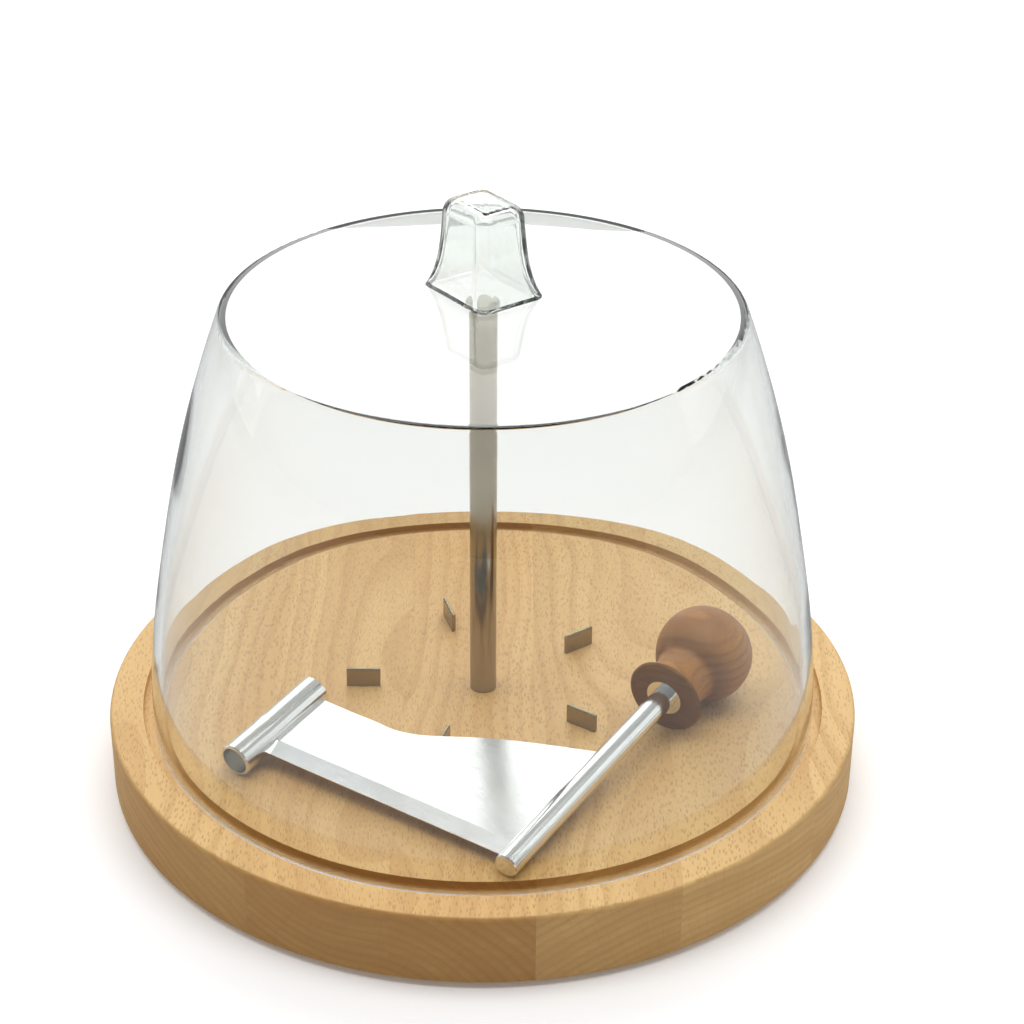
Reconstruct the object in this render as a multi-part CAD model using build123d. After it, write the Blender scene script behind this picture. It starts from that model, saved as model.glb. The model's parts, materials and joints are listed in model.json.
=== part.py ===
from build123d import *
import math
import os

# A cheese curler with a clear cover. A round board carries an upright spindle and five small
# steel grips that hold a cheese. A scraper, made of a hub tube, a blade and a handle rod with a
# turning wooden knob, lies loose on the board under the cover, as it is stored. In use its hub
# tube slips over the spindle.
#
# Millimetres and degrees. The origin is at the centre of the board on the surface that the feet
# stand on. +Z is up and -Y is the front, and the planks run front to back.

# ---------------------------------------------------------------- driving dimensions
FOOT_PROUD = 1.5
BOARD_R = 112.5
BOARD_THICKNESS = 22.0
BOARD_EDGE_ROUND = 1.2
PLANK_WIDTH = 39.6
GLUE_LINE_X = 15.6            # one glue line; the others are a plank's width apart

GROOVE_INNER_R = 95.5
GROOVE_OUTER_R = 102.6
GROOVE_DEPTH = 3.0
GROOVE_FLOOR_ROUND = 0.8

SPINDLE_R = 4.0
SPINDLE_HEIGHT = 127.0        # above the board's top
SPINDLE_SEAT_DEPTH = 10.0
SPINDLE_SEAT_R = 3.8          # turned down a little where it sits in the wood
SPINDLE_TIP_CHAMFER = 0.6
SPINDLE_TAPPED_DEPTH = 14.0

GRIP_ANGLES = {"back_left": 108, "back_right": 36, "front_right": -36, "front_left": -108, "left": 180}
GRIP_INNER_R = 31.4
GRIP_LENGTH = 10.0
GRIP_HEIGHT = 6.0
GRIP_TANG = 6.0
GRIP_THICKNESS = 1.2
GRIP_TIP_CHAMFER = 0.3
GRIP_SLOT_OVERRUN = 1.0       # how far the cutter of a grip's slot reaches above the board

COVER_WALL = 2.5
COVER_RIM_R = 99.8
COVER_SHOULDER_R = 73.9
COVER_SHOULDER_HEIGHT = 126.0  # above the board's top
COVER_CROWN = 5.4              # rise of the cover's top from its shoulder to its middle
COVER_SHOULDER_ROUND = 2.5
COVER_RIM_ROUND = 0.7
COVER_WALL_POINTS = [(98.6, 20), (94.0, 50), (88.0, 80), (79.5, 110)]  # radius, height above the board

HANDLE_LENGTH = 29.6          # the cover's handle, at its base
HANDLE_WIDTH = 23.4
HANDLE_CORNER_R = 4.5
HANDLE_INNER_CORNER_R = 2.5
HANDLE_HEIGHT = 26.5
HANDLE_SINK = 0.5             # how far the handle's foot reaches below the middle of the crowned top
HANDLE_TURN = -53.0           # direction of the handle's long side, from +X
HANDLE_WALL = 2.2
HANDLE_TOP_ROUND = 4.2
HANDLE_INNER_TOP_ROUND = 2.2
HANDLE_FLARE = [(0.0, 1.0), (0.18, 0.87), (0.42, 0.785), (0.86, 0.715), (1.0, 0.70)]  # height, size

HUB_R = 5.0
HUB_BORE_R = 4.1
HUB_LENGTH = 37.2
ROD_R = 3.5
ROD_OFFSET = 89.6             # from the hub's axis to the rod's
ROD_START = 4.4               # how far the rod's near end lies behind the hub's open end
ROD_LENGTH = 116.2
ROD_TAPPED_DEPTH = 12.0
EDGE_CHAMFER = 0.3

BLADE_THICKNESS = 1.5
BLADE_EDGE_THICKNESS = 0.3
BLADE_FRONT = 8.0             # the cutting edge, from the hub's open end
BLADE_BEVEL = 5.0
BLADE_BACK_AT_HUB = 34.5
BLADE_BACK_AT_ROD = 56.0
BLADE_BACK_STRAIGHT = 31.0    # the back edge is straight from the hub out to here
BLADE_BACK_FALL = 0.3         # and comes forward this much on the way
BLADE_BACK_POINTS = [(43.7, 38.5), (54.3, 44.2), (66.0, 49.2)]  # where it swings out
BLADE_BACK_END = 1.5          # how far behind its place at the rod it ends inside the rod
WELD_LEG = 1.0
WELD_ROOT = 0.5               # how far the bead reaches in under the hub, and stops short of the back edge

KNOB_FACE = 83.8              # from the rod's near end to the knob's flat face
KNOB_LENGTH = 37.0
KNOB_FACE_R = 11.8
KNOB_FACE_CHAMFER = 0.5
KNOB_NECK_R = 8.9
KNOB_NECK = 6.5               # from the flat face to the narrowest place
KNOB_BALL_R = 14.5
KNOB_BALL_CENTRE = 23.5       # from the flat face
KNOB_BALL_START = 13.0        # where the neck runs into the ball

BUSH_FLANGE_R = 5.6
BUSH_FLANGE_THICKNESS = 1.2
BUSH_FLANGE_PROUD = 0.4
BUSH_R = 4.6
BUSH_LENGTH = 28.0

SCRAPER_AZIMUTH = 56.5        # direction of the hub and the rod, from +X, seen from above
SCRAPER_INCLINE = 5.9         # they rise this much towards the knob, whose ball lies on the board
HUB_END_X = -69.9
HUB_END_Y = -47.9

RUNNING_CLEARANCE = 0.05      # on radius, between a shaft and what turns on it
REST_GAP = 0.2                # between a loose piece and what it lies on
RIM_GAP = 0.1                 # between the cover's rim and the groove's floor
KNOB_END_FLOAT = 0.2
KNOB_BORE_CLEARANCE = 0.3     # on radius, behind the bush

# M5 screw that pulls the spindle down from below, and M4 screw that keeps the knob on the rod
SPINDLE_SCREW = dict(shank_r=2.45, shank=20.0, head_r=4.75, head=2.6, socket_r=1.7)
KNOB_SCREW = dict(shank_r=1.95, shank=10.0, head_r=3.5, head=2.2, socket_r=1.3)
SCREW_CLEARANCE = 0.05
SCREW_HEAD_ROUND = 0.4        # share of the head's height
SCREW_TIP_CHAMFER = 0.2       # share of the shank's radius
SCREW_SOCKET_DEPTH = 0.55     # share of the head's height
WASHER_THICKNESS = 1.0
WASHER_CLEARANCE = 0.2
SPINDLE_WASHER_R = 6.5
SPINDLE_COUNTERBORE_R = 7.0
SPINDLE_COUNTERBORE_DEPTH = 5.0
SPINDLE_SCREW_HOLE_R = 2.75
KNOB_WASHER_R = 4.8
KNOB_COUNTERBORE_R = 5.4

FOOT_R = 7.0
FOOT_THICKNESS = 3.0
FOOT_ROUND = 0.5
FOOT_CIRCLE_R = 85.0
FOOT_ANGLES = {"front_left": 225, "front_right": 315, "back_left": 135, "back_right": 45}

# ---------------------------------------------------------------- levels and derived sizes
BOARD_BOTTOM = FOOT_PROUD
BOARD_TOP = BOARD_BOTTOM + BOARD_THICKNESS
SPINDLE_SEAT = BOARD_TOP - SPINDLE_SEAT_DEPTH
COUNTERBORE_FLOOR = BOARD_BOTTOM + SPINDLE_COUNTERBORE_DEPTH
SHOULDER = BOARD_TOP + COVER_SHOULDER_HEIGHT
CROWN_TOP = SHOULDER + COVER_CROWN
CROWN_R = (COVER_SHOULDER_R**2 + COVER_CROWN**2) / (2 * COVER_CROWN)
FROM_BELOW = (Align.CENTER, Align.CENTER, Align.MIN)
FROM_LEFT = (Align.MIN, Align.CENTER, Align.CENTER)


def bar(radius, length, base=0.0):
    """A round bar up the Z axis from the height base."""
    return Pos(0, 0, base) * Cylinder(radius, length, align=FROM_BELOW)


def ring(outer_r, inner_r, length, base=0.0):
    """A round sleeve up the Z axis from the height base."""
    return bar(outer_r, length, base) - bar(inner_r, length, base)


def end_edges(shape, side):
    """The round edges at the top (side 1) or the bottom (side -1) of a turned shape."""
    circles = shape.edges().filter_by(GeomType.CIRCLE).filter_by(lambda edge: edge.is_closed)
    levels = circles.group_by(Axis.Z)
    return levels[-1] if side > 0 else levels[0]


def socket_screw(shank_r, shank, head_r, head, socket_r):
    """A button head screw that points up, with the underside of its head at the origin."""
    head_solid = bar(head_r, head, -head)
    head_solid = fillet(end_edges(head_solid, -1), head * SCREW_HEAD_ROUND)
    socket = Pos(0, 0, -head) * extrude(RegularPolygon(socket_r, 6), head * SCREW_SOCKET_DEPTH)
    shank_solid = bar(shank_r, shank)
    shank_solid = chamfer(end_edges(shank_solid, 1), shank_r * SCREW_TIP_CHAMFER)
    return head_solid + shank_solid - socket


# ---------------------------------------------------------------- board, spindle, grips, feet
def grip_blank(height):
    return Box(GRIP_LENGTH, GRIP_THICKNESS, height, align=FROM_BELOW)


def grip_place(angle):
    """Where a grip's lower end stands in the board, on edge along a radius."""
    return Rot(0, 0, angle) * Pos(GRIP_INNER_R + GRIP_LENGTH / 2, 0, BOARD_TOP - GRIP_TANG)


def grip():
    """A thin steel plate with a sharpened top."""
    plate = grip_blank(GRIP_HEIGHT + GRIP_TANG)
    long_top = plate.edges().filter_by(Axis.X).group_by(Axis.Z)[-1]
    return chamfer(long_top, GRIP_TIP_CHAMFER)


def foot_place(angle):
    return Rot(0, 0, angle) * Pos(FOOT_CIRCLE_R, 0, 0)


def board_blank():
    """The whole board, with every hole and pocket, before it is parted into planks."""
    board = bar(BOARD_R, BOARD_THICKNESS, BOARD_BOTTOM)
    board = fillet(board.edges().filter_by(GeomType.CIRCLE), BOARD_EDGE_ROUND)
    groove = ring(GROOVE_OUTER_R, GROOVE_INNER_R, GROOVE_DEPTH, BOARD_TOP - GROOVE_DEPTH)
    groove = fillet(end_edges(groove, -1), GROOVE_FLOOR_ROUND)
    board -= groove
    board -= bar(SPINDLE_SEAT_R, SPINDLE_SEAT_DEPTH, SPINDLE_SEAT)
    board -= bar(SPINDLE_SCREW_HOLE_R, BOARD_THICKNESS, BOARD_BOTTOM)
    board -= bar(SPINDLE_COUNTERBORE_R, SPINDLE_COUNTERBORE_DEPTH, BOARD_BOTTOM)
    for angle in FOOT_ANGLES.values():
        board -= foot_place(angle) * bar(FOOT_R + SCREW_CLEARANCE, FOOT_THICKNESS)
    for angle in GRIP_ANGLES.values():
        board -= grip_place(angle) * grip_blank(GRIP_TANG + GRIP_SLOT_OVERRUN)
    return board


def planks():
    """The board parted at its glue lines, from the left to the right."""
    board = board_blank()
    glue_lines = [GLUE_LINE_X + PLANK_WIDTH * i for i in range(-2, 3)]
    edges = [-2 * BOARD_R, *glue_lines, 2 * BOARD_R]
    pieces = {}
    for number, (left, right) in enumerate(zip(edges, edges[1:]), start=1):
        slab = Box(right - left, 3 * BOARD_R, 3 * BOARD_THICKNESS, align=FROM_LEFT)
        pieces[f"board_plank_{number}"] = board & Pos(left, 0, 0) * slab
    return pieces


def spindle():
    rod = chamfer(end_edges(bar(SPINDLE_R, SPINDLE_HEIGHT, BOARD_TOP), 1), SPINDLE_TIP_CHAMFER)
    rod += bar(SPINDLE_SEAT_R, SPINDLE_SEAT_DEPTH, SPINDLE_SEAT)
    return rod - bar(SPINDLE_SCREW["shank_r"] + SCREW_CLEARANCE, SPINDLE_TAPPED_DEPTH, SPINDLE_SEAT)


def spindle_fastening():
    """The screw and washer in the counterbore under the board."""
    seat = COUNTERBORE_FLOOR - WASHER_THICKNESS
    washer = ring(SPINDLE_WASHER_R, SPINDLE_SCREW_HOLE_R, WASHER_THICKNESS, seat)
    screw = Pos(0, 0, seat) * socket_screw(**SPINDLE_SCREW)
    return {"spindle_screw": screw, "spindle_washer": washer}


def feet():
    pad = bar(FOOT_R, FOOT_THICKNESS)
    pad = fillet(end_edges(pad, -1), FOOT_ROUND)
    return {f"foot_{name}": foot_place(angle) * pad for name, angle in FOOT_ANGLES.items()}


# ---------------------------------------------------------------- cover
def crown_height(radius, inset=0.0):
    """The height of the cover's crowned top at a radius, or, with an inset, of its underside."""
    return CROWN_TOP - CROWN_R + math.sqrt((CROWN_R - inset) ** 2 - radius**2)


def crown_arc(radius, inset=0.0):
    """Half the section of the cover's top or of its underside, from a radius to the middle."""
    places = [(r, crown_height(r, inset)) for r in (radius, radius / 2, 0)]
    return ThreePointArc(*places)


def nearest_corner(section, place):
    return section.vertices().sort_by_distance(place)[0]


def cover_shell():
    """The clear cover: a wall that leans in more and more towards a slightly crowned top."""
    rim = BOARD_TOP - GROOVE_DEPTH + RIM_GAP
    wall = [(r, BOARD_TOP + z) for r, z in COVER_WALL_POINTS]
    inset_wall = [(r - COVER_WALL, z) for r, z in wall]
    rim_places = [(COVER_RIM_R, rim), (COVER_RIM_R - COVER_WALL, rim)]
    inner_shoulder_r = COVER_SHOULDER_R - COVER_WALL
    outer_top = crown_arc(COVER_SHOULDER_R)
    inner_top = crown_arc(inner_shoulder_r, COVER_WALL)
    outer_wall = Spline(rim_places[0], *wall, outer_top @ 0)
    inner_wall = Spline(rim_places[1], *inset_wall, inner_top @ 0)
    foot = Line(*rim_places)
    middle = Line(outer_top @ 1, inner_top @ 1)
    section = make_face([foot, outer_wall, outer_top, middle, inner_top, inner_wall])
    rounds = [
        (outer_top @ 0, COVER_SHOULDER_ROUND),
        (rim_places[0], COVER_RIM_ROUND),
        (rim_places[1], COVER_RIM_ROUND),
    ]
    for place, radius in rounds:
        section = fillet(nearest_corner(section, Vector(*place)), radius)
    return revolve(Plane.XZ * section, Axis.Z)


def handle_form(inset, corner_r, top_round):
    """The cover handle's outer form, or, with an inset, the hollow inside it."""
    outlines = []
    for height, size in HANDLE_FLARE:
        length = HANDLE_LENGTH * size - 2 * inset
        width = HANDLE_WIDTH * size - 2 * inset
        place = Pos(0, 0, height * (HANDLE_HEIGHT - inset))
        outlines.append(place * RectangleRounded(length, width, corner_r))
    form = loft(outlines)
    top_edges = form.faces().sort_by(Axis.Z)[-1].edges()
    return fillet(top_edges, top_round)


def cover_handle():
    """A hollow four-sided handle, open below, whose foot follows the cover's crowned top."""
    outside = handle_form(0.0, HANDLE_CORNER_R, HANDLE_TOP_ROUND)
    inside = handle_form(HANDLE_WALL, HANDLE_INNER_CORNER_R, HANDLE_INNER_TOP_ROUND)
    place = Pos(0, 0, CROWN_TOP - HANDLE_SINK) * Rot(0, 0, HANDLE_TURN)
    return place * (outside - inside) - Pos(0, 0, CROWN_TOP - CROWN_R) * Sphere(CROWN_R)


# ---------------------------------------------------------------- scraper
def scraper_place():
    """Where the scraper lies. Its own frame has the hub along +Y from the origin at the hub's
    open end, and the rod parallel to it, ROD_OFFSET away along +X."""
    incline = math.radians(SCRAPER_INCLINE)
    hub_height = HUB_R * math.cos(incline)
    rod_height = ROD_R * math.cos(incline)
    fall = hub_height - rod_height + ROD_START * math.sin(incline)
    roll = math.degrees(math.asin(fall / ROD_OFFSET / math.cos(incline)))
    end = Pos(HUB_END_X, HUB_END_Y, BOARD_TOP + REST_GAP + hub_height)
    return end * Rot(0, 0, SCRAPER_AZIMUTH - 90) * Rot(SCRAPER_INCLINE, 0, 0) * Rot(0, roll, 0)


def along_y(shape):
    """Turns a shape made up the Z axis so that it lies along +Y."""
    return Rot(-90, 0, 0) * shape


def on_rod(shape, start=0.0):
    """Lays a shape made up the Z axis along the rod, start from the rod's near end."""
    return Pos(ROD_OFFSET, ROD_START + start, 0) * along_y(shape)


def scraper_hub():
    tube = ring(HUB_R, HUB_BORE_R, HUB_LENGTH)
    outer_rims = tube.edges().filter_by(GeomType.CIRCLE).sort_by(SortBy.RADIUS)[-2:]
    return along_y(chamfer(outer_rims, EDGE_CHAMFER))


def handle_rod():
    rod = bar(ROD_R, ROD_LENGTH)
    rod = chamfer(end_edges(rod, -1), EDGE_CHAMFER)
    tapped_r = KNOB_SCREW["shank_r"] + SCREW_CLEARANCE
    tapped = bar(tapped_r, ROD_TAPPED_DEPTH, ROD_LENGTH - ROD_TAPPED_DEPTH)
    return on_rod(rod - tapped)


def blade_outline():
    """The blade from above, in the scraper's own frame. Both ends reach the middle of the hub and
    of the rod, which are cut out of it later."""
    front_left, front_right = (0, BLADE_FRONT), (ROD_OFFSET, BLADE_FRONT)
    back_left = (0, BLADE_BACK_AT_HUB)
    back_right = (ROD_OFFSET, BLADE_BACK_AT_ROD + BLADE_BACK_END)
    straight_end = (BLADE_BACK_STRAIGHT, BLADE_BACK_AT_HUB - BLADE_BACK_FALL)
    swing = Spline(straight_end, *BLADE_BACK_POINTS, back_right, tangents=[(1, 0.1), (1, 0.35)])
    return make_face([swing, Polyline(straight_end, back_left, front_left, front_right, back_right)])


def bevel_cutter():
    """The wedge that the ground bevel takes off the top of the blade's front edge."""
    top = BLADE_THICKNESS / 2
    drop_per_mm = (BLADE_THICKNESS - BLADE_EDGE_THICKNESS) / BLADE_BEVEL
    bevel_end = BLADE_FRONT + BLADE_BEVEL
    before_edge = BLADE_FRONT - BLADE_BEVEL
    low = top - drop_per_mm * (bevel_end - before_edge)
    wedge = Polyline((before_edge, low), (bevel_end, top), (before_edge, top), close=True)
    return extrude(Plane.YZ * make_face(wedge), ROD_OFFSET)


def scraper_blade():
    """A flat blade between the hub and the rod, with a ground bevel on its straight front edge
    and a back edge that swings out towards the rod."""
    plate = extrude(blade_outline(), BLADE_THICKNESS / 2, both=True) - bevel_cutter()
    return plate - along_y(bar(HUB_R, 2 * HUB_LENGTH)) - on_rod(bar(ROD_R, ROD_LENGTH))


def scraper_weld():
    """The weld bead on top of the blade, in the corner beside the hub."""
    start = BLADE_FRONT + BLADE_BEVEL
    length = BLADE_BACK_AT_HUB - start - WELD_ROOT
    top = BLADE_THICKNESS / 2
    corner = math.sqrt(HUB_R**2 - top**2)
    root = corner - WELD_ROOT
    outline = Polyline((root, top), (corner + WELD_LEG, top), (root, top + WELD_LEG), close=True)
    bead = Pos(0, start, 0) * extrude(Plane.XZ * make_face(outline), -length)
    return bead - along_y(bar(HUB_R, HUB_LENGTH))


def knob_section():
    """Half the knob's section: a flat face, a neck that flares out to it, and most of a ball."""
    ball_start = KNOB_BALL_START - KNOB_BALL_CENTRE
    ball_end = KNOB_LENGTH - KNOB_BALL_CENTRE
    start_r, end_r = (math.sqrt(KNOB_BALL_R**2 - z**2) for z in (ball_start, ball_end))
    face_edge = (KNOB_FACE_R, KNOB_FACE_CHAMFER)
    neck = Spline(
        face_edge,
        (KNOB_NECK_R, KNOB_NECK),
        (start_r, KNOB_BALL_START),
        tangents=[(-1, 1), (-ball_start, start_r)],
    )
    widest = (KNOB_BALL_R, KNOB_BALL_CENTRE)
    ball = ThreePointArc((start_r, KNOB_BALL_START), widest, (end_r, KNOB_LENGTH))
    ends = Polyline(
        (end_r, KNOB_LENGTH), (0, KNOB_LENGTH), (0, 0), (KNOB_FACE_R - KNOB_FACE_CHAMFER, 0), face_edge
    )
    return make_face([neck, ball, ends])


def wooden_knob():
    """The turned knob, bored for its bush, the rod, and the washer and screw in its end."""
    turned = revolve(Plane.XZ * knob_section(), Axis.Z)
    turned -= bar(KNOB_COUNTERBORE_R, KNOB_LENGTH, ROD_LENGTH - KNOB_FACE - KNOB_END_FLOAT)
    turned -= bar(ROD_R + KNOB_BORE_CLEARANCE, KNOB_LENGTH)
    turned -= bar(BUSH_R, BUSH_LENGTH)
    turned -= bar(BUSH_FLANGE_R, BUSH_FLANGE_THICKNESS - BUSH_FLANGE_PROUD)
    return on_rod(turned, KNOB_FACE)


def knob_bush():
    """The flanged sleeve in the knob that turns on the rod."""
    sleeve = bar(BUSH_R, BUSH_LENGTH)
    sleeve += bar(BUSH_FLANGE_R, BUSH_FLANGE_THICKNESS, -BUSH_FLANGE_PROUD)
    sleeve -= bar(ROD_R + RUNNING_CLEARANCE, 2 * BUSH_LENGTH, -BUSH_FLANGE_PROUD)
    return on_rod(sleeve, KNOB_FACE)


def knob_fastening():
    """The screw and washer on the rod's end, in the knob's counterbore."""
    washer = ring(KNOB_WASHER_R, KNOB_SCREW["shank_r"] + WASHER_CLEARANCE, WASHER_THICKNESS)
    screw = Rot(180, 0, 0) * socket_screw(**KNOB_SCREW)
    return {
        "knob_washer": on_rod(washer, ROD_LENGTH),
        "knob_screw": on_rod(screw, ROD_LENGTH + WASHER_THICKNESS),
    }


def scraper_pieces():
    own_frame = {
        "scraper_hub": scraper_hub(),
        "scraper_blade": scraper_blade(),
        "scraper_weld": scraper_weld(),
        "handle_rod": handle_rod(),
        "wooden_knob": wooden_knob(),
        "knob_bush": knob_bush(),
        **knob_fastening(),
    }
    return {name: scraper_place() * shape for name, shape in own_frame.items()}


def all_pieces():
    grips = {f"grip_{name}": grip_place(angle) * grip() for name, angle in GRIP_ANGLES.items()}
    cover = {"cover_shell": cover_shell(), "cover_handle": cover_handle()}
    return {
        **planks(),
        "spindle": spindle(),
        **spindle_fastening(),
        **grips,
        **feet(),
        **cover,
        **scraper_pieces(),
    }


os.makedirs("parts", exist_ok=True)
for node, shape in all_pieces().items():
    export_step(shape, f"parts/{node}.step")
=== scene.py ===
import json
import math

import bpy
from mathutils import Matrix, Vector


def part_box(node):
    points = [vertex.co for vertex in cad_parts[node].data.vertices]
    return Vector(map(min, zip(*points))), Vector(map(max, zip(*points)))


# Looks for the cheese curler: beech planks, a stained knob, a clear cover, steel parts and rubber
# feet. The scene is in metres. Textures work in millimetres: names with MM are in millimetres, and
# a texture's scale or per_mm says how often it repeats in one.

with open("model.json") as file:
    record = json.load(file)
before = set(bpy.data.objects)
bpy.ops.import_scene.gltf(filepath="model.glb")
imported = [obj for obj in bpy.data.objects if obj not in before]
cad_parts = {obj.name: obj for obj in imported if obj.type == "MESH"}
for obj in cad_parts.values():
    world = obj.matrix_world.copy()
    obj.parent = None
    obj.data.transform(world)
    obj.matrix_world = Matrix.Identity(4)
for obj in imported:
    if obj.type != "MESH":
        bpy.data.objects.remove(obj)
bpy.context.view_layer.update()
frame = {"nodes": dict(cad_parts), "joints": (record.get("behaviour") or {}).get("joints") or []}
nodes = frame["nodes"]

MM_PER_M = 1000.0
NO_TURN = (0, 0, 0)
ORIGIN = (0, 0, 0)
UP = (0, 0, 1)
KNOB_SPIN = next(joint for joint in frame["joints"] if joint["name"] == "knob_spin")

# Camera: where it stands, how far it looks down from level, how far it leans, the lens and
# sensor width in millimetres, and how far it sees
CAMERA_PLACE = Vector((0.0084, -0.6101, 0.4254))
CAMERA_DOWN = math.radians(29.245)
CAMERA_LEAN = math.radians(0.427)
CAMERA_LENS = 84.08
CAMERA_SENSOR = 36.0
CAMERA_SIGHT = 60.0

# Every tuple that is named as a ramp holds four numbers: a value that goes from the first to the
# second comes out going from the third to the fourth. A texture's detail is how many finer layers
# it has, and its roughness is how strong they are.

# Steels: colour, roughness, and how much relief the brushed lines have
STEELS = {
    # the spindle's dark brown colour is a painted reflection of the wooden board, darkened as painted
    # shade, not the steel's own colour
    "spindle_steel_painted_wood_reflection": {"colour": (0.38, 0.34, 0.27), "roughness": 0.14, "brushing": 0.08},
    "scraper_steel": {"colour": (0.86, 0.86, 0.84), "roughness": 0.15, "brushing": 0.06},
    "blade_steel": {"colour": (0.93, 0.93, 0.92), "roughness": 0.21, "brushing": 0.01},
    # the grips' dark brown colour is a painted reflection of the wooden board, darkened as painted
    # shade, not the steel's own colour
    "grip_steel": {"colour": (0.34, 0.28, 0.18), "roughness": 0.17, "brushing": 0.08},
    "screw_steel": {"colour": (0.66, 0.67, 0.68), "roughness": 0.3, "brushing": 0.25},
}
STEEL_WORN = 0.86                      # the colour of worn steel against fresh
STEEL_LINES = {"per_mm": (9.0, 0.12, 9.0), "detail": 3.0, "roughness": 0.6}
STEEL_LINES_RAMP = (0.3, 0.7, 0.0, 0.4)
STEEL_LINES_ROUGHNESS_RAMP = (0.25, 0.75, 0.0, 1.0)
STEEL_LINES_DEPTH_MM = 0.01
STEEL_PATCHES = {"scale": 0.09, "detail": 3.0}
STEEL_PATCHES_RAMP = (0.45, 0.75, 0.0, 0.35)
STEEL_ROUGHNESS_SHARES = {"lines": 0.5, "patches": 0.4, "base": 0.6}

# Rubber
FOOT_RUBBER = (0.035, 0.035, 0.037)
RUBBER_DUSTY = 1.9                     # the colour of dusty rubber against clean
RUBBER_GRAIN = {"scale": 3.0, "detail": 4.0}
RUBBER_ROUGHNESS_RAMP = (0.2, 0.8, 0.6, 0.85)
RUBBER_RELIEF = 0.4
RUBBER_DEPTH_MM = 0.08

# Beech: its light and dark wood, the short flecks along its grain, what its end grain is
# multiplied by, the cosines of the face's angle to the grain between which end grain fades in,
# and its roughness
BEECH = {
    "light": (0.725, 0.490, 0.205),
    "dark": (0.585, 0.355, 0.130),
    "fleck": (0.33, 0.170, 0.060),
    "end": (0.70, 0.60, 0.45),
    "end_fade": (0.05, 0.60),
    "roughness": 0.46,
}
STAINED_BEECH = {
    "light": (0.47, 0.205, 0.026),
    "dark": (0.28, 0.105, 0.012),
    "fleck": (0.12, 0.050, 0.015),
    "end": (0.53, 0.52, 0.80),
    "end_fade": (0.25, 0.85),
    "roughness": 0.42,
}
WOOD_IOR = 1.45

# Each plank of the board, and the knob: where the middle of its tree lay, across and up from its
# own middle, in millimetres; how warm its wood is, from 0 to 1; and how dark its end grain is
PLANK_TREES = [
    {"pith": (-30, -70), "warmth": 0.35, "end": 0.9},
    {"pith": (20, 60), "warmth": 0.55, "end": 1.0},
    {"pith": (-40, -55), "warmth": 0.75, "end": 1.0},
    {"pith": (25, -75), "warmth": 0.30, "end": 0.5},
    {"pith": (-6, -90), "warmth": 0.15, "end": 0.35},
    {"pith": (30, 80), "warmth": 0.20, "end": 0.35},
]
KNOB_TREE = {"pith": (6, -14), "warmth": 0.0, "end": 1.0}
WARM_TINT = (1.0, 0.93, 0.86)
PLANK_SHIFT = 0.31                     # how far along the tree each plank is from the last

# Growth rings: how wide a year is, how far the rings wander and how slowly, and how dark late
# wood and broad dark years are
RING_WIDTH_MM = 2.6
RING_SWAY_MM = (16.0, 0.0, 16.0)
RING_SWAY_PER_MM = (0.016, 0.0085, 0.016)
RING_SWAY_DETAIL = 1.5
NOISE_MIDDLE = (0.5, 0.5, 0.5)
LATE_WOOD_RISE_RAMP = (0.35, 0.93, 0.0, 1.0)
LATE_WOOD_FALL_RAMP = (0.95, 1.0, 1.0, 0.0)
LATE_WOOD_SHARE = 0.60
BROAD_YEARS_RAMP = (0.35, 0.65, 0.0, 1.0)
BROAD_YEARS_PER_YEAR = 0.37
BROAD_YEARS_SHARE = 0.55

# Rays: the radius at which their turn about the pith is measured off, their size around the
# pith, along the grain and outwards, and how they fade at their edges and from one to the next
RAY_RADIUS_MM = 70.0
RAY_SIZE_MM = {"X": 0.5, "Y": 2.5, "Z": 14.0}
RAY_EDGE_RAMP = (0.20, 0.50, 1.0, 0.0)
RAY_CHANCE_RAMP = (0.0, 0.7, 0.35, 1.0)
RAY_END_RAMP = (0.0, 1.0, 0.52, 0.14)  # how strong the rays are, from long grain to end grain

# Clouds, fibres and, on end grain, streaks of stain, and how dark they are
CLOUDS = {"per_mm": (0.05, 0.012, 0.05), "detail": 3.0}
CLOUDS_RAMP = (0.3, 0.7, 0.0, 0.45)
FIBRES = {"per_mm": (4.0, 0.16, 4.0), "detail": 3.0, "roughness": 0.6}
FIBRES_RAMP = (0.3, 0.75, 0.0, 0.30)
STREAKS = {"per_mm": (0.05, 0.05, 0.55), "detail": 4.0, "roughness": 0.65}
STREAKS_RAMP = (0.35, 0.7, 0.0, 0.55)
FIBRES_ROUGHNESS_FROM = (0.2, 0.8)
FIBRES_ROUGHNESS_CHANGE = (-0.05, 0.10)
END_ROUGHNESS = 0.12
FIBRES_RELIEF = 0.5
WOOD_RELIEF = 0.35
WOOD_DEPTH_MM = 0.05

# Clear plastic: the tint of its surfaces, and how dense its thickness is, per metre
CLEAR_PLASTICS = {
    "clear_cover": {"tint": (0.970, 0.980, 0.975), "density": 60.0},
    # the handle's greyer tint is painted shade, standing in for the grey its several walls show by
    # refraction
    "clear_handle_painted_grey": {"tint": (0.905, 0.920, 0.905), "density": 36.0},
}
CLEAR_BODY = (0.48, 0.52, 0.50)
CLEAR_IOR = 1.49
RIM_HEIGHT_MM_RAMP = (20.9, 22.4, 0.5, 0.0)    # its ground foot fades into its polished wall
WAVES = {"scale": 0.028, "detail": 1.0}
WAVES_RELIEF = 0.25
WAVES_DEPTH_MM = 0.6
SMEARS = {"per_mm": (0.05, 0.05, 0.12), "detail": 4.0, "roughness": 0.6}
SMEARS_RAMP = (0.45, 0.8, 0.0, 0.004)

# Light that goes through both sides of the cover and its handle meets many surfaces.
LIGHT_BOUNCES = {"max_bounces": 32, "transmission_bounces": 32, "glossy_bounces": 12}

FLOOR_HALF = 12.0
FLOOR_WHITE = 0.93
FLOOR_IN_REFLECTIONS = 0.22
FLOOR_GLOW = 0.10

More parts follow.
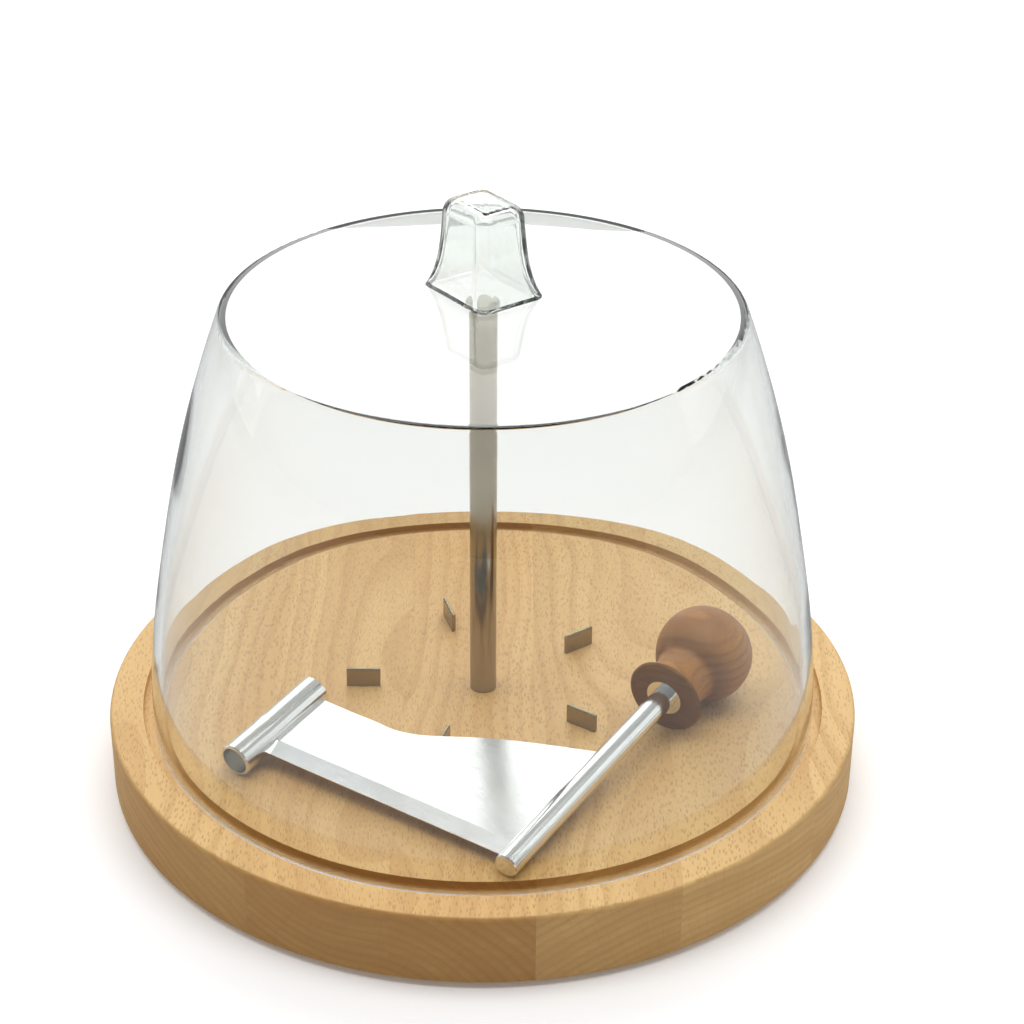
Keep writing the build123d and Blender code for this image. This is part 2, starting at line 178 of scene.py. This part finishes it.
# Softboxes: where each stands, its width and height, and how bright its face is
SOFTBOXES = {
    "overhead": {"place": (0.0, -0.08, 1.60), "size": (2.0, 0.8), "radiance": 3.4},
    "back": {"place": (0.10, 1.45, 0.97), "size": (2.6, 1.2), "radiance": 1.65},
    "right": {"place": (1.35, 0.25, 0.60), "size": (0.7, 0.9), "radiance": 0.8},
    "left": {"place": (-1.25, 0.35, 0.60), "size": (0.5, 1.1), "radiance": 0.9},
}
SOFTBOX_TARGET = (0, 0, 0.05)

SKY_COLOUR = (0.97, 0.985, 1.0)
SKY_RAMP = (-0.9, 0.3, 0.18, 0.54)     # its brightness, from the camera's side to the far side


# ---------------------------------------------------------------- node helpers
def feed(tree, socket, value):
    """Links an output to an input, or sets the input's own value."""
    if isinstance(value, bpy.types.NodeSocket):
        tree.links.new(value, socket)
    else:
        socket.default_value = value


def add(tree, kind, inputs=None, **settings):
    """Adds a node with its settings and its inputs, and returns it."""
    made = tree.nodes.new(kind)
    for name, value in settings.items():
        setattr(made, name, value)
    for name, value in (inputs or {}).items():
        feed(tree, made.inputs[name], value)
    return made


def maths(tree, operation, *values):
    made = add(tree, "ShaderNodeMath", operation=operation)
    for socket, value in zip(made.inputs, values):
        feed(tree, socket, value)
    return made.outputs[0]


def vector_maths(tree, operation, *values):
    made = add(tree, "ShaderNodeVectorMath", operation=operation)
    for socket, value in zip(made.inputs, values):
        feed(tree, socket, value)
    return made.outputs["Value" if operation == "LENGTH" else "Vector"]


def ramp(tree, value, low, high, to_low=0.0, to_high=1.0):
    """value from low to high, eased and held, comes out from to_low to to_high."""
    made = add(tree, "ShaderNodeMapRange", interpolation_type="SMOOTHSTEP")
    for socket, number in zip(made.inputs, (value, low, high, to_low, to_high)):
        feed(tree, socket, number)
    return made.outputs["Result"]


def noise(tree, place, scale=1.0, detail=2.0, roughness=0.5):
    made = add(
        tree,
        "ShaderNodeTexNoise",
        {"Vector": place, "Scale": scale, "Detail": detail, "Roughness": roughness},
    )
    return made.outputs["Fac"]


def stretched_noise(tree, place, per_mm, detail, roughness=0.5):
    """Noise that is drawn out along the axes on which per_mm is small."""
    scaled = vector_maths(tree, "MULTIPLY", place, per_mm)
    return noise(tree, scaled, detail=detail, roughness=roughness)


def blend(tree, share, first, second, how="MIX"):
    """Mixes two colours."""
    made = add(tree, "ShaderNodeMix", data_type="RGBA", blend_type=how)
    feed(tree, made.inputs["Factor"], share)
    for name, value in (("A", first), ("B", second)):
        colour = value if isinstance(value, bpy.types.NodeSocket) else (*value, 1.0)
        socket = next(s for s in made.inputs if s.name == name and s.type == "RGBA")
        feed(tree, socket, colour)
    return next(s for s in made.outputs if s.type == "RGBA")


def bump(tree, height, strength, distance_mm):
    made = add(tree, "ShaderNodeBump", {"Height": height, "Strength": strength})
    made.inputs["Distance"].default_value = distance_mm / MM_PER_M
    return made.outputs["Normal"]


def new_material(name):
    """A material, its node tree and its Principled shader."""
    material = bpy.data.materials.new(name)
    material.use_nodes = True
    tree = material.node_tree
    return material, tree, tree.nodes["Principled BSDF"]


def place_mm(tree, turn=NO_TURN, origin=ORIGIN):
    """The surface's place in millimetres, in axes turned and set where a material needs them."""
    place = add(tree, "ShaderNodeTexCoord").outputs["Object"]
    mapping = add(tree, "ShaderNodeMapping", {"Vector": place}, vector_type="POINT")
    mapping.inputs["Rotation"].default_value = turn
    mapping.inputs["Location"].default_value = origin
    return vector_maths(tree, "MULTIPLY", mapping.outputs["Vector"], (MM_PER_M,) * 3)


def along(axis, centre=ORIGIN):
    """The turn and origin that bring axis to +Y and centre to the origin."""
    turn = Vector(axis).rotation_difference(Vector((0, 1, 0)))
    return turn.to_euler(), -(turn @ Vector(centre))


# ---------------------------------------------------------------- wood
def growth_rings(tree, place, pith):
    """Where a point lies across from the pith, and how far, with the rings bent by slow waves."""
    slow = vector_maths(tree, "MULTIPLY", place, RING_SWAY_PER_MM)
    wave = add(
        tree, "ShaderNodeTexNoise", {"Vector": slow, "Scale": 1.0, "Detail": RING_SWAY_DETAIL}
    )
    sway = vector_maths(tree, "SUBTRACT", wave.outputs["Color"], NOISE_MIDDLE)
    sway = vector_maths(tree, "MULTIPLY", sway, RING_SWAY_MM)
    bent = vector_maths(tree, "ADD", place, sway)
    across = vector_maths(tree, "SUBTRACT", bent, (pith[0], 0, pith[1]))
    across = vector_maths(tree, "MULTIPLY", across, (1, 0, 1))
    return across, vector_maths(tree, "LENGTH", across)


def ring_tone(tree, radius):
    """Dark late wood at the outer edge of each ring, on top of broad light and dark years."""
    years = maths(tree, "DIVIDE", radius, RING_WIDTH_MM)
    within = maths(tree, "FRACT", years)
    rise = ramp(tree, within, *LATE_WOOD_RISE_RAMP)
    fall = ramp(tree, within, *LATE_WOOD_FALL_RAMP)
    late = maths(tree, "MULTIPLY", rise, fall)
    uneven = add(
        tree,
        "ShaderNodeTexNoise",
        {"W": years, "Scale": BROAD_YEARS_PER_YEAR, "Detail": 2.0},
        noise_dimensions="1D",
    )
    broad = ramp(tree, uneven.outputs["Fac"], *BROAD_YEARS_RAMP)
    late_tone = maths(tree, "MULTIPLY", late, LATE_WOOD_SHARE)
    broad_tone = maths(tree, "MULTIPLY", broad, BROAD_YEARS_SHARE)
    return maths(tree, "ADD", late_tone, broad_tone)


def rays(tree, place, across, radius):
    """Beech rays: thin sheets that point at the pith. They show as short dashes along the grain
    on a face that follows the rings, and as fine lines across them on end grain."""
    parts = add(tree, "ShaderNodeSeparateXYZ", {"Vector": across})
    turn = maths(tree, "ARCTAN2", parts.outputs["X"], parts.outputs["Z"])
    around = maths(tree, "MULTIPLY", turn, RAY_RADIUS_MM)
    along_grain = add(tree, "ShaderNodeSeparateXYZ", {"Vector": place}).outputs["Y"]
    sheet = add(tree, "ShaderNodeCombineXYZ")
    for axis, distance in (("X", around), ("Y", along_grain), ("Z", radius)):
        feed(tree, sheet.inputs[axis], maths(tree, "DIVIDE", distance, RAY_SIZE_MM[axis]))
    cells = add(tree, "ShaderNodeTexVoronoi", {"Vector": sheet.outputs[0], "Scale": 1.0})
    near = ramp(tree, cells.outputs["Distance"], *RAY_EDGE_RAMP)
    chance = add(tree, "ShaderNodeSeparateColor", {"Color": cells.outputs["Color"]}).outputs[0]
    return maths(tree, "MULTIPLY", near, ramp(tree, chance, *RAY_CHANCE_RAMP))


def end_grain(tree, turn, fade):
    """1 on a face that cuts the grain across, 0 on one along it."""
    normal = add(tree, "ShaderNodeTexCoord").outputs["Normal"]
    turned = add(tree, "ShaderNodeMapping", {"Vector": normal}, vector_type="NORMAL")
    turned.inputs["Rotation"].default_value = turn
    facing = add(tree, "ShaderNodeSeparateXYZ", {"Vector": turned.outputs["Vector"]}).outputs["Y"]
    return ramp(tree, maths(tree, "ABSOLUTE", facing), *fade)


def wood_colour(tree, kind, grown, place, end, fibres, dashes, radius):
    """The wood's colour: rings, clouds, fibres and rays, then what end grain adds."""
    colour = blend(tree, ring_tone(tree, radius), kind["light"], kind["dark"])
    clouds = stretched_noise(tree, place, **CLOUDS)
    colour = blend(tree, ramp(tree, clouds, *CLOUDS_RAMP), colour, kind["dark"])
    colour = blend(tree, ramp(tree, fibres, *FIBRES_RAMP), colour, kind["dark"])
    colour = blend(tree, dashes, colour, kind["fleck"])
    streaks = stretched_noise(tree, place, **STREAKS)
    stain = maths(tree, "MULTIPLY", end, ramp(tree, streaks, *STREAKS_RAMP))
    colour = blend(tree, stain, colour, kind["dark"])
    darkened = maths(tree, "MULTIPLY", end, grown["end"])
    colour = blend(tree, darkened, colour, kind["end"], "MULTIPLY")
    tint = [1 - grown["warmth"] * (1 - part) for part in WARM_TINT]
    return blend(tree, 1.0, colour, tint, "MULTIPLY")


def wood_roughness(tree, kind, end, fibres):
    """Rougher on the fibres and on end grain."""
    change = [kind["roughness"] + part for part in FIBRES_ROUGHNESS_CHANGE]
    rough = ramp(tree, fibres, *FIBRES_ROUGHNESS_FROM, *change)
    return maths(tree, "ADD", rough, maths(tree, "MULTIPLY", end, END_ROUGHNESS))


def wood(name, kind, grown, turn=NO_TURN, origin=ORIGIN):
    """Beech whose grain runs along +Y once its place is turned."""
    material, tree, shader = new_material(name)
    place = place_mm(tree, turn, origin)
    across, radius = growth_rings(tree, place, grown["pith"])
    end = end_grain(tree, turn, kind["end_fade"])
    fibres = stretched_noise(tree, place, **FIBRES)
    seen_rays = ramp(tree, end, *RAY_END_RAMP)
    dashes = maths(tree, "MULTIPLY", rays(tree, place, across, radius), seen_rays)

    colour = wood_colour(tree, kind, grown, place, end, fibres, dashes, radius)
    feed(tree, shader.inputs["Base Color"], colour)
    feed(tree, shader.inputs["Roughness"], wood_roughness(tree, kind, end, fibres))
    relief = maths(tree, "SUBTRACT", maths(tree, "MULTIPLY", fibres, FIBRES_RELIEF), dashes)
    feed(tree, shader.inputs["Normal"], bump(tree, relief, WOOD_RELIEF, WOOD_DEPTH_MM))
    shader.inputs["IOR"].default_value = WOOD_IOR
    return material


def plank_materials():
    made = {}
    for number, grown in enumerate(PLANK_TREES, start=1):
        node = f"board_plank_{number}"
        low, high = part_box(node)
        middle = (low + high) / 2
        shift = Vector((middle.x, -PLANK_SHIFT * number, middle.z))
        made[node] = wood(f"beech_{number}", BEECH, grown, origin=-shift)
    return made


def knob_material():
    return wood("knob_beech", STAINED_BEECH, KNOB_TREE, *along(KNOB_SPIN["axis"], KNOB_SPIN["pos_m"]))


# ---------------------------------------------------------------- steel, rubber and clear plastic
def steel(name, turn):
    """Steel with fine lines along +Y once its place is turned, and slow patches of wear."""
    material, tree, shader = new_material(name)
    colour = STEELS[name]["colour"]
    roughness = STEELS[name]["roughness"]
    parts = {part: roughness * share for part, share in STEEL_ROUGHNESS_SHARES.items()}
    worn = [part * STEEL_WORN for part in colour]
    place = place_mm(tree, turn)
    lines = stretched_noise(tree, place, **STEEL_LINES)
    patches = noise(tree, place, **STEEL_PATCHES)

    shade = blend(tree, ramp(tree, lines, *STEEL_LINES_RAMP), colour, worn)
    shade = blend(tree, ramp(tree, patches, *STEEL_PATCHES_RAMP), shade, worn)
    feed(tree, shader.inputs["Base Color"], shade)
    rough_lines = ramp(tree, lines, *STEEL_LINES_ROUGHNESS_RAMP)
    spread = maths(tree, "MULTIPLY", rough_lines, parts["lines"])
    spread = maths(tree, "ADD", spread, maths(tree, "MULTIPLY", patches, parts["patches"]))
    feed(tree, shader.inputs["Roughness"], maths(tree, "ADD", spread, parts["base"]))
    relief = bump(tree, lines, STEELS[name]["brushing"], STEEL_LINES_DEPTH_MM)
    feed(tree, shader.inputs["Normal"], relief)
    shader.inputs["Metallic"].default_value = 1.0
    return material


def rubber(name):
    material, tree, shader = new_material(name)
    place = place_mm(tree)
    grain = noise(tree, place, **RUBBER_GRAIN)
    dusty = [part * RUBBER_DUSTY for part in FOOT_RUBBER]
    feed(tree, shader.inputs["Base Color"], blend(tree, grain, FOOT_RUBBER, dusty))
    feed(tree, shader.inputs["Roughness"], ramp(tree, grain, *RUBBER_ROUGHNESS_RAMP))
    feed(tree, shader.inputs["Normal"], bump(tree, grain, RUBBER_RELIEF, RUBBER_DEPTH_MM))
    return material


def clear_plastic(name):
    """Moulded clear plastic, with the slow waves of the mould, faint wiping marks and a rim that
    is ground, not polished."""
    material, tree, shader = new_material(name)
    place = place_mm(tree)
    waves = noise(tree, place, **WAVES)
    smears = stretched_noise(tree, place, **SMEARS)
    height = add(tree, "ShaderNodeSeparateXYZ", {"Vector": place}).outputs["Z"]
    ground = ramp(tree, height, *RIM_HEIGHT_MM_RAMP)
    polished = ramp(tree, smears, *SMEARS_RAMP)
    feed(tree, shader.inputs["Roughness"], maths(tree, "ADD", ground, polished))
    feed(tree, shader.inputs["Normal"], bump(tree, waves, WAVES_RELIEF, WAVES_DEPTH_MM))
    shader.inputs["Base Color"].default_value = (*CLEAR_PLASTICS[name]["tint"], 1.0)
    shader.inputs["Transmission Weight"].default_value = 1.0
    shader.inputs["IOR"].default_value = CLEAR_IOR
    body = tree.nodes.new("ShaderNodeVolumeAbsorption")
    body.inputs["Color"].default_value = (*CLEAR_BODY, 1.0)
    body.inputs["Density"].default_value = CLEAR_PLASTICS[name]["density"]
    tree.links.new(body.outputs["Volume"], tree.nodes["Material Output"].inputs["Volume"])
    return material


def all_materials():
    """A material for every CAD node. The first start that a node's name has is the one it gets."""
    upright, _ = along(UP)
    lying, _ = along(KNOB_SPIN["axis"])
    quarter_turn = Matrix.Rotation(math.pi / 2, 4, "Z")
    across_blade = (quarter_turn @ lying.to_matrix().to_4x4()).to_euler()
    polished = steel("scraper_steel", lying)
    screw = steel("screw_steel", upright)
    by_start = {
        "spindle_": screw,
        "spindle": steel("spindle_steel_painted_wood_reflection", upright),
        "grip_": steel("grip_steel", upright),
        "foot_": rubber("foot_rubber"),
        "cover_shell": clear_plastic("clear_cover"),
        "cover_handle": clear_plastic("clear_handle_painted_grey"),
        "scraper_blade": steel("blade_steel", across_blade),
        "scraper_": polished,
        "handle_rod": polished,
        "knob_bush": polished,
        "knob_": screw,
    }
    chosen = {**plank_materials(), "wooden_knob": knob_material()}
    for node in nodes:
        if node not in chosen:
            chosen[node] = next(made for start, made in by_start.items() if node.startswith(start))
    return chosen


def dress_nodes():
    for node, material in all_materials().items():
        mesh = nodes[node].data
        mesh.materials.clear()
        mesh.materials.append(material)
    for node in ("cover_shell", "cover_handle"):
        nodes[node].visible_shadow = False
        nodes[node].visible_diffuse = False


# ---------------------------------------------------------------- floor, light and camera
def floor_material():
    """White, but mirrored as grey by polished parts."""
    material, tree, shader = new_material("floor_white")
    path = add(tree, "ShaderNodeLightPath").outputs
    sharp = maths(tree, "SUBTRACT", path["Is Glossy Ray"], path["Is Transmission Ray"])
    mirrored = maths(tree, "MAXIMUM", sharp, 0.0)
    white = (FLOOR_WHITE,) * 3
    grey = (FLOOR_IN_REFLECTIONS,) * 3
    feed(tree, shader.inputs["Base Color"], blend(tree, mirrored, white, grey))
    shader.inputs["Roughness"].default_value = 1.0
    shader.inputs["Specular IOR Level"].default_value = 0.0
    shader.inputs["Emission Color"].default_value = (1.0, 1.0, 1.0, 1.0)
    shader.inputs["Emission Strength"].default_value = FLOOR_GLOW
    return material


def floor():
    """A plain pale floor."""
    mesh = bpy.data.meshes.new("floor")
    corners = [(x * FLOOR_HALF, y * FLOOR_HALF, 0) for x, y in ((-1, -1), (1, -1), (1, 1), (-1, 1))]
    mesh.from_pydata(corners, [], [(0, 1, 2, 3)])
    mesh.materials.append(floor_material())
    made = bpy.data.objects.new("floor", mesh)
    bpy.context.scene.collection.objects.link(made)


def hide_through_cover(light):
    """A light that shines and is mirrored, but isn't seen straight through the clear cover. A ray
    that has met no mirror has a glossy depth of 0."""
    light.use_nodes = True
    tree = light.node_tree
    path = add(tree, "ShaderNodeLightPath").outputs
    mirrored = maths(tree, "GREATER_THAN", path["Glossy Depth"], 0.5)
    hidden = maths(tree, "SUBTRACT", path["Is Transmission Ray"], mirrored)
    shown = maths(tree, "SUBTRACT", 1.0, maths(tree, "MAXIMUM", hidden, 0.0))
    feed(tree, tree.nodes["Emission"].inputs["Strength"], shown)


def softbox(name, place, size, radiance):
    """A rectangular light that faces the object and doesn't show itself."""
    width, height = size
    data = bpy.data.lights.new(name, "AREA")
    data.shape = "RECTANGLE"
    data.size = width
    data.size_y = height
    data.energy = radiance * math.pi * width * height
    hide_through_cover(data)
    made = bpy.data.objects.new(name, data)
    made.location = place
    facing = Vector(place) - Vector(SOFTBOX_TARGET)
    made.rotation_mode = "QUATERNION"
    made.rotation_quaternion = facing.to_track_quat("Z", "Y")
    made.visible_camera = False
    bpy.context.scene.collection.objects.link(made)


def sky():
    """A pale room, dimmer on the side of the camera."""
    world = bpy.data.worlds.new("room")
    world.use_nodes = True
    tree = world.node_tree
    place = add(tree, "ShaderNodeTexCoord").outputs["Generated"]
    parts = add(tree, "ShaderNodeSeparateXYZ", {"Vector": place})
    background = tree.nodes["Background"]
    background.inputs["Color"].default_value = (*SKY_COLOUR, 1.0)
    feed(tree, background.inputs["Strength"], ramp(tree, parts.outputs["Y"], *SKY_RAMP))
    bpy.context.scene.world = world


def camera():
    data = bpy.data.cameras.new("camera")
    data.lens = CAMERA_LENS
    data.sensor_width = CAMERA_SENSOR
    data.clip_end = CAMERA_SIGHT
    made = bpy.data.objects.new("camera", data)
    ahead = Vector((0, math.cos(CAMERA_DOWN), -math.sin(CAMERA_DOWN)))
    level_right = Vector((1, 0, 0))
    level_up = level_right.cross(ahead)
    right = level_right * math.cos(CAMERA_LEAN) + level_up * math.sin(CAMERA_LEAN)
    up = level_up * math.cos(CAMERA_LEAN) - level_right * math.sin(CAMERA_LEAN)
    axes = Matrix((right, up, -ahead)).transposed().to_4x4()
    made.matrix_world = Matrix.Translation(CAMERA_PLACE) @ axes
    bpy.context.scene.collection.objects.link(made)
    bpy.context.scene.camera = made


dress_nodes()
floor()
for name, box in SOFTBOXES.items():
    softbox(name, **box)
sky()
camera()
bpy.context.scene.view_settings.view_transform = "Standard"
for kind, most in LIGHT_BOUNCES.items():
    setattr(bpy.context.scene.cycles, kind, most)
